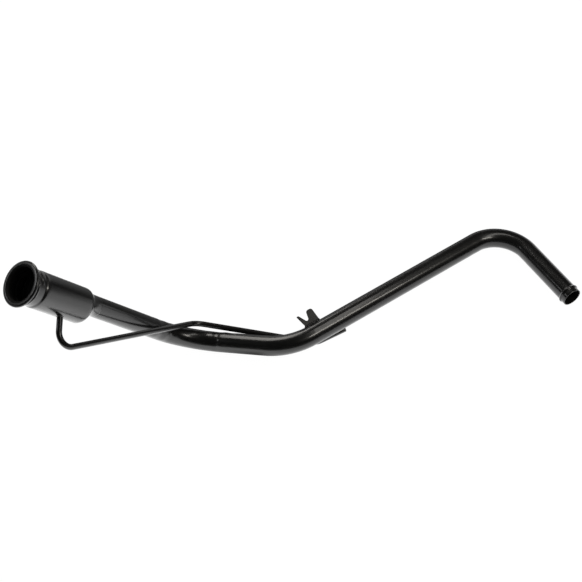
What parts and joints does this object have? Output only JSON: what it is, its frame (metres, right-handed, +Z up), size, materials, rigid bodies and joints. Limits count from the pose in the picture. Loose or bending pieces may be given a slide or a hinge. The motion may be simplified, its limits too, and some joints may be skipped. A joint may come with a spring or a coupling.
{
  "type": "fuel filler neck",
  "caption": "Bent steel fuel filler neck with a threaded cup, a nozzle guide with a sprung flap, a vent tube and a forked bracket.",
  "frame": {"origin": "on the table under the middle of the box of the part as it lies", "axes": "+Z up from the table, +X along the longest extent from the cup towards the tank end, +Y away from the tank end"},
  "size_m": [0.7677, 0.281, 0.2826],
  "materials": {
    "black_coating": "gloss black coating over steel",
    "guide_coating": "satin black coating over sheet steel",
    "flap_steel": "dark plated sheet steel",
    "spring_steel": "bare spring steel"
  },
  "bodies": {
    "neck": {"main_pipe": "black_coating", "filler_cup": "black_coating", "cup_weld": "black_coating", "nozzle_guide": "guide_coating", "flap_pin": "spring_steel", "flap_spring": "spring_steel", "vent_tube": "black_coating", "vent_weld": "black_coating", "support_bracket": "black_coating", "bracket_weld": "black_coating"},
    "flap": {"flap": "flap_steel"}
  },
  "joints": [
    {"name": "flap_hinge", "type": "hinge", "parent": "neck", "child": "flap", "pos_m": [-0.32924, -0.07389, 0.22886], "axis": [0.8433, -0.3239, 0.429], "range_deg": [0, 80], "stiffness_Nm_per_rad": 0.01, "springref_deg": -28.65}
  ]
}
